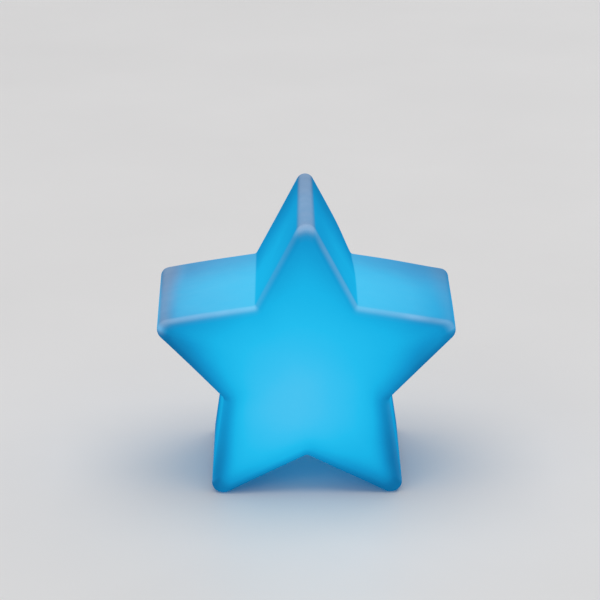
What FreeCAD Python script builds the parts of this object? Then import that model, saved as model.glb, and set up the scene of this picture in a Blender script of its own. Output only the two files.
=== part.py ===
import FreeCAD, Part

import math
import os

# Star-shaped mood lamp: a hollow star of soft PVC that glows from within. A round light unit plugs into a
# hole in the star's back. It carries a battery compartment, a push button, a circuit board and a colour LED.
# Millimetres. The lamp faces -Y and stands on its two lower points at z = 0, and x = 0, y = 0 is its middle.

Vector = FreeCAD.Vector

# Star: all ten sides lie at the same distance from the middle, so an offset star is a scaled star.
POINTS = 5
STAR_R = 65.0                # middle to the corner where a point's two sides would meet
NOTCH_RATIO = 0.518          # middle to a notch's corner, as a share of STAR_R
TIP_ROUND = 4.2
NOTCH_ROUND = 1.6
RIM_ROUND = 3.2              # rounding between the faces and the side walls
DEPTH = 72.0
WALL = 2.2
FOOT_FLAT = 0.4              # how much of a foot's rounding is flat on the ground

FRONT = -DEPTH / 2
BACK = DEPTH / 2
BEYOND = 1.0                 # how far a cut runs on past a face
SAME = 1e-6

# Hole and recess for the light unit in the star's back
RECESS_R = 26.0
RECESS_DEEP = 3.0
OPENING_R = 21.0
RECESS_FLOOR = BACK - RECESS_DEEP

# Light unit's housing: a cup behind a flange. Its places are given from its own axis: x across, w up.
FLANGE_R = 25.0
FLANGE_FACE = BACK - 1.0
FLANGE_EDGE = 0.7
CUP_R = 20.8
CUP_WALL = 1.6
CUP_END = 15.0               # y of the cup's open end
PLATE_INSIDE = 31.5          # y of the back plate's inner face
BEAD_R = 22.2
BEAD_LOW, BEAD_TOP, BEAD_END = 28.4, 29.8, 30.5

# Three button cells, side by side along x
CELL_R = 5.8
CELL_LONG = 5.4
CELLS = 3
CELL_CAP_R = 4.7
CELL_CAP_HIGH = 0.3
CELL_EDGE = 0.35
GASKET_R = 5.3
GASKET_HIGH = 0.12
CELL_Y = 26.6
CELL_W = 7.6
STACK_RIGHT = 9.35           # x of the stack's positive end

BAY_HALF = 9.75
BAY_LOW, BAY_HIGH = 1.5, 13.7
BAY_WALL = 1.2
BAY_FLOOR = 20.6

# Battery door: a D-shaped cover held by one screw
DOOR_R = 19.5
DOOR_EDGE = -0.8             # w of its straight edge
DOOR_GAP = 0.2
DOOR_THICK = 1.7
DOOR_INSIDE = FLANGE_FACE - DOOR_THICK
DOOR_LEDGE = DOOR_INSIDE - 0.1
DOOR_HOLE_R = 1.15
SPIGOT_LONG = 18.6
SPIGOT_THICK = 1.0
SPIGOT_DEEP = 2.2
SPIGOT_GAP = 0.1
GRIP_BARS = 3
GRIP_HALF, GRIP_WIDE, GRIP_HIGH, GRIP_STEP = 5.0, 0.9, 0.4, 2.2
GRIP_W = 5.0
GRIP_EDGE = 0.18
PAD_HALF_X, PAD_HALF_W = 7.0, 2.5
PAD_GAP = 0.1

SCREW_W = 16.0
SCREW_R = 0.95
SCREW_HOLE_R = 1.0
SCREW_HEAD_R = 1.9
SCREW_HEAD_HIGH = 1.3
SCREW_LONG = 7.5
SCREW_SEAT_R = 2.3
SCREW_SEAT = 33.5            # y of the seat under the washer
WASHER_R = 2.05
WASHER_THICK = 0.2
WASHER_HOLE_R = 1.05
SOCKET_R = 3.1
SOCKET_INSIDE = 32.0
SOCKET_GAP = 0.3
SCREW_BOSS_R = 2.9
SCREW_BOSS_END = 24.0
SCREW_BOSS_FLOOR = 1.0
SCREW_HEAD_EDGE = 0.5
SCREW_POINT_LONG, SCREW_POINT_R = 0.8, 0.38
SCREW_CROSS = (0.7, 1.15, 0.28)     # depth, half length and half width of the cross recess

# Push button and the switch that it works
BUTTON_W = -9.0
BUTTON_R = 4.7
BUTTON_HOLE_R = 5.0
BUTTON_COLLAR_R = 5.4
BUTTON_TOP = 35.7
BUTTON_INSIDE = 30.5
BUTTON_COLLAR_TOP = 31.3
BUTTON_EDGE = 0.5
BUTTON_STEM_R = 1.9
MARK_R = 2.1
MARK_LINE = 0.5
MARK_DEEP = 0.2

SWITCH_HALF = 3.5
SWITCH_TOP = 27.3
SWITCH_FLOOR = 0.6
SWITCH_LID = 0.7
SWITCH_BORE_R = 2.6
PLUNGER_R = 1.6
PLUNGER_HOLE_R = 1.9
PLUNGER_TOP = 28.8
SHOULDER_R = 2.25
SHOULDER_LOW, SHOULDER_HIGH = 25.8, 26.5
SPRING_R = 1.5
SPRING_WIRE_R = 0.14
SPRING_TURNS = 3

# Circuit board, its parts and its fixings
BOARD_R = 17.5
BOARD_EDGE = -0.5
BOARD_BACK = 22.8            # the face towards the button
BOARD_THICK = 1.2
BOARD_FRONT = BOARD_BACK - BOARD_THICK
BOARD_SCREWS = ((-12.5, -4.5), (12.5, -4.5))
BOARD_POST_R = 2.0
BOARD_GAP = 0.5
COVER_POSTS = ((-14.5, 6.5), (14.5, 6.5), (0.0, -16.9))
COVER_POST_R = 2.1
SMALL_SCREW_R = 0.75
SMALL_HOLE_R = 0.8
SMALL_HEAD_R = 1.55
SMALL_HEAD_HIGH = 1.1
SMALL_LONG = 6.0
SMALL_CLEAR_R = 0.9
SMALL_END_GAP = 0.8
SMALL_HEAD_EDGE = 0.4
SMALL_CROSS = (0.6, 0.9, 0.22)

LED_X, LED_W = -10.0, -9.0
LED_R = 2.5
LED_RIM_R = 2.9
LED_RIM_THICK = 1.0
LED_LONG = 8.6
LED_STAND = 1.0
LED_LEADS = 4
LEAD_STEP = 1.27
LEAD_HALF = 0.22
LEAD_OUT = 1.0
LEAD_HOLE_R = 0.42

BLOB_X, BLOB_W = 8.6, -9.5
BLOB_R = 3.5
BLOB_HIGH = 1.4
RESISTORS = ((0.0, -7.0), (0.0, -9.2))
CAPACITOR = (0.0, -11.6)
CHIP_LONG, CHIP_WIDE, CHIP_HIGH = 2.0, 1.25, 0.55

COVER_THICK = 1.6
COVER_FACE = CUP_END - COVER_THICK
COVER_RING_OUT, COVER_RING_IN = 19.1, 18.2
COVER_RING_DEEP = 1.3
COVER_POST_GAP = 0.3
LED_HOLE_R = 2.75

# Battery contacts and the wires from them to the board
CONTACT_THICK = 0.3
CONTACT_HALF = 4.5
CONTACT_LOW, CONTACT_HIGH = 21.6, 31.0
TAB_HALF = 1.0
TAB_END = 17.4
TONGUE_HALF = 2.5
TONGUE_GAP = 0.05
TONGUE_PATH = ((0.0, 30.7), (0.35, 30.7), (0.7, 30.1), (1.0, 27.2), (1.0, 26.0), (0.55, 22.8))  # reach, y
SLOT_GAP = 0.3
WIRE_R = 0.5
WIRE_Y = 18.2
WIRE_TOP_W = 9.0
WIRE_END_W = -2.6
WIRE_BEND = 1.8

PIN_X = 3.75
PIN_W = 2.25
PIN_HALF_X, PIN_HALF_W = 0.15, 0.35
PIN_OUT, PIN_UP = 0.9, 1.0
PIN_HOLE_R = 0.45
SOLDER_R, SOLDER_TOP_R, SOLDER_HIGH = 0.6, 0.4, 0.6


def tip_half_angle():
    """Half the angle between the two sides of one point."""
    turn = math.pi / POINTS
    notch = STAR_R * NOTCH_RATIO
    return math.atan2(notch * math.sin(turn), STAR_R - notch * math.cos(turn))


SIDE_DISTANCE = STAR_R * math.sin(tip_half_angle())
FOOT_TURN = math.pi / 2 - 2 * (2 * math.pi / POINTS)    # direction of a lower point, from +x
TIP_CENTRE = STAR_R - TIP_ROUND / math.sin(tip_half_angle())
CENTRE_Z = -TIP_CENTRE * math.sin(FOOT_TURN) + TIP_ROUND - FOOT_FLAT


# Plain shapes

def at(x, y, w):
    """A place given from the light unit's axis."""
    return Vector(x, y, CENTRE_Z + w)


def disc(radius, y_low, y_high, x=0.0, w=0.0):
    return Part.makeCylinder(radius, y_high - y_low, at(x, y_low, w), Vector(0, 1, 0))


def cone(radius_low, radius_high, y_low, y_high, x=0.0, w=0.0):
    return Part.makeCone(radius_low, radius_high, y_high - y_low, at(x, y_low, w), Vector(0, 1, 0))


def ring(outer, inner, y_low, y_high, x=0.0, w=0.0):
    return disc(outer, y_low, y_high, x, w).cut(disc(inner, y_low, y_high, x, w))


def block(x_low, x_high, y_low, y_high, w_low, w_high):
    size = (x_high - x_low, y_high - y_low, w_high - w_low)
    return Part.makeBox(*size, at(x_low, y_low, w_low))


def segment(radius, edge, y_low, y_high, above):
    """The part of a disc above or below a straight edge."""
    side = (edge, 2 * radius) if above else (-2 * radius, edge)
    return disc(radius, y_low, y_high).common(block(-radius, radius, y_low, y_high, *side))


def rounded_outline(corners, radii, y):
    """A closed wire in the plane y, with an arc at each corner."""
    edges = []
    starts, ends = [], []
    count = len(corners)
    for i, (corner, radius) in enumerate(zip(corners, radii)):
        before = (corners[i - 1] - corner).normalize()
        after = (corners[(i + 1) % count] - corner).normalize()
        half = before.getAngle(after) / 2
        reach = radius / math.tan(half)
        middle = (before + after).normalize()
        top = corner + middle * (radius / math.sin(half) - radius)
        starts.append(corner + before * reach)
        ends.append(corner + after * reach)
        edges.append(Part.Arc(starts[i], top, ends[i]).toShape())
    sides = [Part.LineSegment(ends[i], starts[(i + 1) % count]).toShape() for i in range(count)]
    wire = Part.Wire([edge for pair in zip(edges, sides) for edge in pair])
    wire.translate(Vector(0, y, 0))
    return wire


def star_block(inset, y_low, y_high):
    """A solid star whose sides are moved in by inset and whose rims are rounded."""
    scale = (SIDE_DISTANCE - inset) / SIDE_DISTANCE
    corners, radii = [], []
    for i in range(2 * POINTS):
        is_tip = i % 2 == 0
        reach = scale * STAR_R * (1.0 if is_tip else NOTCH_RATIO)
        turn = math.pi / 2 + i * math.pi / POINTS
        corners.append(Vector(reach * math.cos(turn), 0, CENTRE_Z + reach * math.sin(turn)))
        radii.append(TIP_ROUND - inset if is_tip else NOTCH_ROUND + inset)
    outline = rounded_outline(corners, radii, y_low)
    solid = Part.Face(outline).extrude(Vector(0, y_high - y_low, 0))
    rims = [edge for edge in solid.Edges if lies_flat(edge, y_low) or lies_flat(edge, y_high)]
    return solid.makeFillet(RIM_ROUND - inset, rims)


def lies_flat(edge, y):
    box = edge.BoundBox
    return abs(box.YMin - y) < SAME and abs(box.YMax - y) < SAME


def strip(path, thick, x_from_path, w_low, w_high):
    """A bent sheet-metal strip: path is a list of (x, y) points along its outer side."""
    count = len(path)
    inner = []
    for i, (x, y) in enumerate(path):
        x0, y0 = path[max(i - 1, 0)]
        x1, y1 = path[min(i + 1, count - 1)]
        before = Vector(x - x0, y - y0, 0) if i else Vector(x1 - x, y1 - y, 0)
        after = Vector(x1 - x, y1 - y, 0) if i < count - 1 else before
        before.normalize()
        after.normalize()
        across = Vector(-(before + after).y, (before + after).x, 0).normalize()
        square = Vector(-before.y, before.x, 0)
        reach = thick / across.dot(square)
        inner.append((x + across.x * reach, y + across.y * reach))
    corners = [at(x + x_from_path, y, w_low) for x, y in path + inner[::-1]]
    face = Part.Face(Part.makePolygon(corners + corners[:1]))
    return face.extrude(Vector(0, 0, w_high - w_low))


# Star

def star_shell():
    outside = star_block(0.0, FRONT, BACK).cut(disc(RECESS_R, RECESS_FLOOR, BACK + BEYOND))
    inside = star_block(WALL, FRONT + WALL, BACK - WALL)
    inside = inside.cut(disc(RECESS_R + WALL, RECESS_FLOOR - WALL, BACK))
    shell = outside.cut(inside).cut(disc(OPENING_R, RECESS_FLOOR - 2 * WALL, BACK))
    ground = Part.makeBox(4 * STAR_R, 4 * STAR_R, STAR_R, Vector(-2 * STAR_R, -2 * STAR_R, -STAR_R))
    return shell.cut(ground)


# Light unit's housing and cover

def module_housing():
    flange = disc(FLANGE_R, RECESS_FLOOR, FLANGE_FACE)
    rim = [edge for edge in flange.Edges if lies_flat(edge, FLANGE_FACE)]
    flange = flange.makeFillet(FLANGE_EDGE, rim)
    bay = block(-BAY_HALF - BAY_WALL, BAY_HALF + BAY_WALL, BAY_FLOOR - BAY_WALL, PLATE_INSIDE,
                BAY_LOW - BAY_WALL, BAY_HIGH + BAY_WALL)
    pieces = [
        disc(CUP_R, PLATE_INSIDE, FLANGE_FACE - FLANGE_EDGE),
        ring(CUP_R, CUP_R - CUP_WALL, CUP_END, PLATE_INSIDE),
        cone(CUP_R, BEAD_R, BEAD_LOW, BEAD_TOP).cut(disc(CUP_R - CUP_WALL / 2, BEAD_LOW, BEAD_TOP)),
        ring(BEAD_R, CUP_R - CUP_WALL / 2, BEAD_TOP, BEAD_END),
        bay,
        disc(SCREW_BOSS_R, SCREW_BOSS_END, PLATE_INSIDE, w=SCREW_W).common(disc(CUP_R, 0, BACK)),
    ]
    pieces += [disc(COVER_POST_R, CUP_END, PLATE_INSIDE, x, w) for x, w in COVER_POSTS]
    pieces += [disc(BOARD_POST_R, BOARD_BACK, PLATE_INSIDE, x, w) for x, w in BOARD_SCREWS]
    housing = flange.fuse(pieces).removeSplitter()
    return housing.cut(housing_openings()).removeSplitter()


def housing_openings():
    slots = [contact_slot(side) for side in (-1, 1)]
    cover_holes = [disc(SMALL_HOLE_R, CUP_END, CUP_END + SMALL_LONG, x, w) for x, w in COVER_POSTS]
    board_holes = [disc(SMALL_HOLE_R, BOARD_BACK, BOARD_BACK + SMALL_LONG, x, w) for x, w in BOARD_SCREWS]
    return [
        segment(DOOR_R + DOOR_GAP, DOOR_EDGE - DOOR_GAP, DOOR_LEDGE, BACK, above=True),
        block(-BAY_HALF, BAY_HALF, BAY_FLOOR, BACK, BAY_LOW, BAY_HIGH),
        disc(SOCKET_R + SOCKET_GAP, SOCKET_INSIDE - DOOR_GAP, BACK, w=SCREW_W),
        disc(SCREW_HOLE_R, SCREW_BOSS_END + SCREW_BOSS_FLOOR, BACK, w=SCREW_W),
        disc(BUTTON_HOLE_R, PLATE_INSIDE - BEYOND, BACK, w=BUTTON_W),
    ] + slots + cover_holes + board_holes


def contact_slot(side):
    """Slot in the bay's floor for a contact's solder tab."""
    near, far = BAY_HALF - CONTACT_THICK - SLOT_GAP, BAY_HALF
    x_low, x_high = sorted((side * near, side * far))
    half = TAB_HALF + SLOT_GAP
    return block(x_low, x_high, BAY_FLOOR - 2 * BAY_WALL, BAY_FLOOR, CELL_W - half, CELL_W + half)


def front_cover():
    lip = ring(COVER_RING_OUT, COVER_RING_IN, CUP_END, CUP_END + COVER_RING_DEEP)
    gaps = [disc(COVER_POST_R + COVER_POST_GAP, CUP_END, BACK, x, w) for x, w in COVER_POSTS]
    cover = disc(CUP_R, COVER_FACE, CUP_END).fuse(lip.cut(gaps))
    holes = [disc(SMALL_CLEAR_R, COVER_FACE, CUP_END, x, w) for x, w in COVER_POSTS]
    holes.append(disc(LED_HOLE_R, COVER_FACE, CUP_END, LED_X, LED_W))
    return cover.cut(holes)


def small_screws(places, face):
    """Pan-head screws that go in along +Y, with their heads on the plane y = face."""
    return Part.makeCompound([small_screw(face, x, w) for x, w in places])


def small_screw(face, x, w):
    top = face - SMALL_HEAD_HIGH
    head = disc(SMALL_HEAD_R, top, face, x, w)
    head = head.makeFillet(SMALL_HEAD_EDGE, [edge for edge in head.Edges if lies_flat(edge, top)])
    shank = disc(SMALL_SCREW_R, face, face + SMALL_LONG - SMALL_END_GAP, x, w)
    return head.fuse(shank).cut(cross_slot(top, *SMALL_CROSS, x, w))


def cross_slot(y_low, deep, half_long, half_wide, x=0.0, w=0.0):
    """Cross recess for a screwdriver."""
    bars = [
        block(x - half_long, x + half_long, y_low, y_low + deep, w - half_wide, w + half_wide),
        block(x - half_wide, x + half_wide, y_low, y_low + deep, w - half_long, w + half_long),
    ]
    return bars[0].fuse(bars[1])


# Circuit board and what is on it

def circuit_board():
    board = segment(BOARD_R, BOARD_EDGE, BOARD_FRONT, BOARD_BACK, above=False)
    x, w = COVER_POSTS[-1]
    holes = [disc(COVER_POST_R + BOARD_GAP, BOARD_FRONT, BOARD_BACK, x, w)]
    holes += [disc(SMALL_CLEAR_R, BOARD_FRONT, BOARD_BACK, x, w) for x, w in BOARD_SCREWS]
    holes += [disc(LEAD_HOLE_R, BOARD_FRONT, BOARD_BACK, x, LED_W) for x in lead_places()]
    holes += [disc(PIN_HOLE_R, BOARD_FRONT, BOARD_BACK, x, w) for x, w in pin_places()]
    return board.cut(holes)


def lead_places():
    return [LED_X + (i - (LED_LEADS - 1) / 2) * LEAD_STEP for i in range(LED_LEADS)]


def pin_places():
    return [(side * PIN_X, BUTTON_W + end * PIN_W) for side in (-1, 1) for end in (-1, 1)]


def rgb_led():
    base = BOARD_FRONT - LED_STAND
    dome_centre = base - LED_LONG + LED_R
    body = disc(LED_R, dome_centre, base, LED_X, LED_W)
    dome = Part.makeSphere(LED_R, at(LED_X, dome_centre, LED_W))
    return body.fuse([disc(LED_RIM_R, base - LED_RIM_THICK, base, LED_X, LED_W), dome]).removeSplitter()


def led_leads():
    low, high = BOARD_FRONT - LED_STAND, BOARD_BACK + LEAD_OUT
    return Part.makeCompound([
        block(x - LEAD_HALF, x + LEAD_HALF, low, high, LED_W - LEAD_HALF, LED_W + LEAD_HALF)
        for x in lead_places()
    ])


def solder_joints():
    joints = []
    for x in lead_places():
        joint = cone(SOLDER_R, SOLDER_TOP_R, BOARD_BACK, BOARD_BACK + SOLDER_HIGH, x, LED_W)
        joints.append(joint.cut(led_leads()))
    for x, w in pin_places():
        joint = cone(SOLDER_TOP_R, SOLDER_R, BOARD_FRONT - SOLDER_HIGH, BOARD_FRONT, x, w)
        joints.append(joint.cut(switch_pins()))
    return Part.makeCompound(joints)


def controller_chip():
    radius = (BLOB_R ** 2 + BLOB_HIGH ** 2) / (2 * BLOB_HIGH)
    ball = Part.makeSphere(radius, at(BLOB_X, BOARD_FRONT - BLOB_HIGH + radius, BLOB_W))
    return ball.common(disc(BLOB_R, BOARD_FRONT - BLOB_HIGH, BOARD_FRONT, BLOB_X, BLOB_W))


def surface_chips(places):
    return Part.makeCompound([
        block(x - CHIP_LONG / 2, x + CHIP_LONG / 2, BOARD_FRONT - CHIP_HIGH, BOARD_FRONT,
              w - CHIP_WIDE / 2, w + CHIP_WIDE / 2)
        for x, w in places
    ])


# Switch

def switch_body():
    body = block(-SWITCH_HALF, SWITCH_HALF, BOARD_BACK, SWITCH_TOP,
                 BUTTON_W - SWITCH_HALF, BUTTON_W + SWITCH_HALF)
    bore = disc(SWITCH_BORE_R, BOARD_BACK + SWITCH_FLOOR, SWITCH_TOP - SWITCH_LID, w=BUTTON_W)
    return body.cut([bore, disc(PLUNGER_HOLE_R, SWITCH_TOP - 2 * SWITCH_LID, SWITCH_TOP, w=BUTTON_W)])


def switch_pins():
    pins = []
    for x, w in pin_places():
        x_low, x_high = sorted((math.copysign(SWITCH_HALF, x), x + math.copysign(PIN_HALF_X, x)))
        pins.append(block(x_low, x_high, BOARD_FRONT - PIN_OUT, BOARD_BACK + PIN_UP,
                          w - PIN_HALF_W, w + PIN_HALF_W))
    return Part.makeCompound(pins)


def switch_plunger():
    shoulder = disc(SHOULDER_R, SHOULDER_LOW, SHOULDER_HIGH, w=BUTTON_W)
    return shoulder.fuse(disc(PLUNGER_R, SHOULDER_HIGH, PLUNGER_TOP, w=BUTTON_W))


def switch_spring():
    low = BOARD_BACK + SWITCH_FLOOR + SPRING_WIRE_R
    high = SHOULDER_LOW - SPRING_WIRE_R
    helix = Part.makeHelix((high - low) / SPRING_TURNS, high - low, SPRING_R)
    section = Part.Wire(Part.makeCircle(SPRING_WIRE_R, Vector(SPRING_R, 0, 0), Vector(0, 1, 0)))
    coil = Part.Wire(helix).makePipeShell([section], True, True)
    coil.rotate(Vector(0, 0, 0), Vector(1, 0, 0), -90)
    coil.translate(at(0, low, BUTTON_W))
    return coil


# Push button

def power_button():
    cap = disc(BUTTON_R, BUTTON_INSIDE, BUTTON_TOP, w=BUTTON_W)
    cap = cap.makeFillet(BUTTON_EDGE, [edge for edge in cap.Edges if lies_flat(edge, BUTTON_TOP)])
    collar = disc(BUTTON_COLLAR_R, BUTTON_INSIDE, BUTTON_COLLAR_TOP, w=BUTTON_W)
    stem = disc(BUTTON_STEM_R, PLUNGER_TOP, BUTTON_INSIDE, w=BUTTON_W)
    return cap.fuse([collar, stem]).cut(power_mark())


def power_mark():
    """Sunk on-off mark: an open ring with a bar in its gap."""
    low = BUTTON_TOP - MARK_DEEP
    circle = ring(MARK_R, MARK_R - MARK_LINE, low, BACK, w=BUTTON_W)
    gap = block(-2 * MARK_LINE, 2 * MARK_LINE, low, BACK, BUTTON_W, BUTTON_W + MARK_R)
    bar = block(-MARK_LINE / 2, MARK_LINE / 2, low, BACK, BUTTON_W, BUTTON_W + MARK_R + MARK_LINE)
    return circle.cut(gap).fuse(bar)


# Battery compartment

def battery_cell(index):
    """One cell, with its negative cap towards -X."""
    left = STACK_RIGHT - (index + 1) * CELL_LONG
    along = Vector(1, 0, 0)
    foot = at(left + CELL_CAP_HIGH, CELL_Y, CELL_W)
    case = Part.makeCylinder(CELL_R, CELL_LONG - CELL_CAP_HIGH, foot, along)
    case = case.makeFillet(CELL_EDGE, [edge for edge in case.Edges if edge.Length > 2 * math.pi * CELL_CAP_R])
    cap = Part.makeCylinder(CELL_CAP_R, CELL_CAP_HIGH, at(left, CELL_Y, CELL_W), along)
    return case.fuse(cap)


def cell_gaskets():
    gaskets = []
    for index in range(CELLS):
        right = STACK_RIGHT - (index + 1) * CELL_LONG + CELL_CAP_HIGH
        place = at(right - GASKET_HIGH, CELL_Y, CELL_W)
        outer = Part.makeCylinder(GASKET_R, GASKET_HIGH, place, Vector(1, 0, 0))
        gaskets.append(outer.cut(Part.makeCylinder(CELL_CAP_R, GASKET_HIGH, place, Vector(1, 0, 0))))
    return Part.makeCompound(gaskets)


def contact_plate(side):
    """Flat plate at one end of the bay, with a tab that goes down through the floor."""
    x_low, x_high = sorted((side * (BAY_HALF - CONTACT_THICK), side * BAY_HALF))
    plate = block(x_low, x_high, CONTACT_LOW, CONTACT_HIGH, CELL_W - CONTACT_HALF, CELL_W + CONTACT_HALF)
    tab = block(x_low, x_high, TAB_END, CONTACT_LOW, CELL_W - TAB_HALF, CELL_W + TAB_HALF)
    return plate.fuse(tab).removeSplitter()


def contact_positive():
    return contact_plate(1)


def contact_negative():
    """The plate with a springy tongue that bears on the last cell."""
    stack_left = STACK_RIGHT - CELLS * CELL_LONG
    plate_face = CONTACT_THICK - BAY_HALF
    reach = stack_left - plate_face - CONTACT_THICK - TONGUE_GAP
    path = [(share * reach, y) for share, y in TONGUE_PATH]
    tongue = strip(path, CONTACT_THICK, plate_face, CELL_W - TONGUE_HALF, CELL_W + TONGUE_HALF)
    return contact_plate(-1).fuse(tongue)


def battery_door():
    plate = segment(DOOR_R, DOOR_EDGE, DOOR_INSIDE, FLANGE_FACE, above=True)
    ribs = []
    for low in (BAY_LOW + SPIGOT_GAP, BAY_HIGH - SPIGOT_GAP - SPIGOT_THICK):
        ribs.append(block(-SPIGOT_LONG / 2, SPIGOT_LONG / 2, DOOR_INSIDE - SPIGOT_DEEP, DOOR_INSIDE,
                          low, low + SPIGOT_THICK))
    socket = disc(SOCKET_R, SOCKET_INSIDE, DOOR_INSIDE, w=SCREW_W)
    bars = [grip_bar(GRIP_W + i * GRIP_STEP) for i in range(GRIP_BARS)]
    door = plate.fuse([ribs[0], ribs[1], socket.common(disc(CUP_R - CUP_WALL, 0, BACK))] + bars)
    holes = [disc(SCREW_SEAT_R, SCREW_SEAT, BACK, w=SCREW_W), disc(DOOR_HOLE_R, 0, BACK, w=SCREW_W)]
    return door.cut(holes).removeSplitter()


def grip_bar(w):
    top = FLANGE_FACE + GRIP_HIGH
    bar = block(-GRIP_HALF, GRIP_HALF, FLANGE_FACE, top, w, w + GRIP_WIDE)
    return bar.makeFillet(GRIP_EDGE, [edge for edge in bar.Edges if lies_flat(edge, top)])


def door_pad():
    """Foam strip on the door's inside that keeps the cells quiet."""
    return block(-PAD_HALF_X, PAD_HALF_X, CELL_Y + CELL_R + PAD_GAP, DOOR_INSIDE,
                 CELL_W - PAD_HALF_W, CELL_W + PAD_HALF_W)


def door_screw_washer():
    return ring(WASHER_R, WASHER_HOLE_R, SCREW_SEAT, SCREW_SEAT + WASHER_THICK, w=SCREW_W)


def door_screw():
    under = SCREW_SEAT + WASHER_THICK
    top = under + SCREW_HEAD_HIGH
    head = disc(SCREW_HEAD_R, under, top, w=SCREW_W)
    head = head.makeFillet(SCREW_HEAD_EDGE, [edge for edge in head.Edges if lies_flat(edge, top)])
    end = under - SCREW_LONG
    shank = disc(SCREW_R, end + SCREW_POINT_LONG, under, w=SCREW_W)
    point = cone(SCREW_POINT_R, SCREW_R, end, end + SCREW_POINT_LONG, w=SCREW_W)
    deep = SCREW_CROSS[0]
    return head.fuse([shank, point]).cut(cross_slot(top - deep, *SCREW_CROSS, w=SCREW_W))


def wire(side):
    """Insulated wire from a contact's tab to the board."""
    x = side * (BAY_HALF - CONTACT_THICK - WIRE_R)
    start = at(x, WIRE_Y, WIRE_TOP_W)
    corner = at(x, WIRE_Y, WIRE_END_W)
    end = at(x, BOARD_FRONT, WIRE_END_W)
    turn_in = corner + Vector(0, 0, WIRE_BEND)
    turn_out = corner + Vector(0, WIRE_BEND, 0)
    middle = corner + Vector(0, WIRE_BEND, WIRE_BEND) * (1 - math.sqrt(0.5))
    path = Part.Wire([
        Part.LineSegment(start, turn_in).toShape(),
        Part.Arc(turn_in, middle, turn_out).toShape(),
        Part.LineSegment(turn_out, end).toShape(),
    ])
    section = Part.Wire(Part.makeCircle(WIRE_R, start, Vector(0, 0, -1)))
    return path.makePipeShell([section], True, False)


def all_parts():
    parts = {
        "star_shell": star_shell(),
        "module_housing": module_housing(),
        "front_cover": front_cover(),
        "cover_screws": small_screws(COVER_POSTS, COVER_FACE),
        "circuit_board": circuit_board(),
        "board_screws": small_screws(BOARD_SCREWS, BOARD_FRONT),
        "rgb_led": rgb_led(),
        "led_leads": led_leads(),
        "solder_joints": solder_joints(),
        "controller_chip": controller_chip(),
        "resistors": surface_chips(RESISTORS),
        "capacitor": surface_chips([CAPACITOR]),
        "switch_body": switch_body(),
        "switch_pins": switch_pins(),
        "switch_plunger": switch_plunger(),
        "switch_spring": switch_spring(),
        "power_button": power_button(),
        "cell_gaskets": cell_gaskets(),
        "contact_positive": contact_positive(),
        "contact_negative": contact_negative(),
        "battery_door": battery_door(),
        "door_pad": door_pad(),
        "door_screw": door_screw(),
        "door_screw_washer": door_screw_washer(),
        "wire_positive": wire(1),
        "wire_negative": wire(-1),
    }
    for index in range(CELLS):
        parts["battery_cell_%d" % (index + 1)] = battery_cell(index)
    return parts


os.makedirs("parts", exist_ok=True)
for name, shape in all_parts().items():
    shape.exportStep("parts/%s.step" % name)
    box = shape.BoundBox
    print("%-18s %9.1f mm3  %s  y %.2f..%.2f  z %.2f..%.2f" % (
        name, shape.Volume, "ok" if shape.isValid() else "BAD", box.YMin, box.YMax, box.ZMin, box.ZMax))
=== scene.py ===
import math

import bpy
import numpy as np
from mathutils import Matrix, Vector


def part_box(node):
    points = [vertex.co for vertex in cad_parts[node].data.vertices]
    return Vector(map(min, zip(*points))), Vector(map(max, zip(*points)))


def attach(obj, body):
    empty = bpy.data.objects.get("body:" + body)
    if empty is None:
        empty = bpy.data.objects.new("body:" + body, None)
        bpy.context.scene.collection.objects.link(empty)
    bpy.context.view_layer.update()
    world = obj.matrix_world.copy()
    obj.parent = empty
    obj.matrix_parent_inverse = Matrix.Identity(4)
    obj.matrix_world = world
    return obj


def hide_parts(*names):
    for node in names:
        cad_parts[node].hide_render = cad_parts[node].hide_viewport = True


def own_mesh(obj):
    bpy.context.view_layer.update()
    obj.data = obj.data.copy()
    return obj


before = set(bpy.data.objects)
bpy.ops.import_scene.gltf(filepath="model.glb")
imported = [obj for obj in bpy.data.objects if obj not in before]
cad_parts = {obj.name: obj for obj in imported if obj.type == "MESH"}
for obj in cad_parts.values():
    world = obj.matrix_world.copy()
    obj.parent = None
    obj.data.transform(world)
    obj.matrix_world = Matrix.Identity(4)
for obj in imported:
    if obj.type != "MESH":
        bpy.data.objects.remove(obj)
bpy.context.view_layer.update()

MM = 0.001

# Star: millimetres about its middle. The notches, wall, recess and opening repeat the CAD model's driving
# dimensions. The rims and tips are rounded a little differently, as on the soft moulding.
POINTS = 5
NOTCH_RATIO = 0.518          # middle to a notch's corner, as a share of STAR_R
TIP_ROUND = 4.2              # the CAD model's own, from which the star's size follows
NOTCH_ROUND = 1.6
RIM = 3.5                    # rounding between the faces and the side walls
FACE_TIP = 3.2               # rounding of the flat faces' own tips
TIP_FRONT, TIP_BACK = 4.3, 3.4
WALL = 2.2
INNER_RIM = 1.0
RECESS_R = 26.0
RECESS_DEEP = 3.0
OPENING_R = 21.0
EDGE_ROUND = 0.7
LIP_ROUND = 0.4
LIP_STEP = 1.5

# How finely the surface is divided
SIDE_STEPS, TIP_STEPS, NOTCH_STEPS = 22, 12, 6
RIM_STEPS = 9
BACK_STEPS = 14
EDGE_STEPS = 4
FACE_STEP = 1.5
WALL_STEP = 2.4

TURN = math.pi / POINTS
TIP_HALF = math.atan2(NOTCH_RATIO * math.sin(TURN), 1 - NOTCH_RATIO * math.cos(TURN))
NOTCH_HALF = TIP_HALF + TURN                                   # half the open angle between a notch's sides

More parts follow.
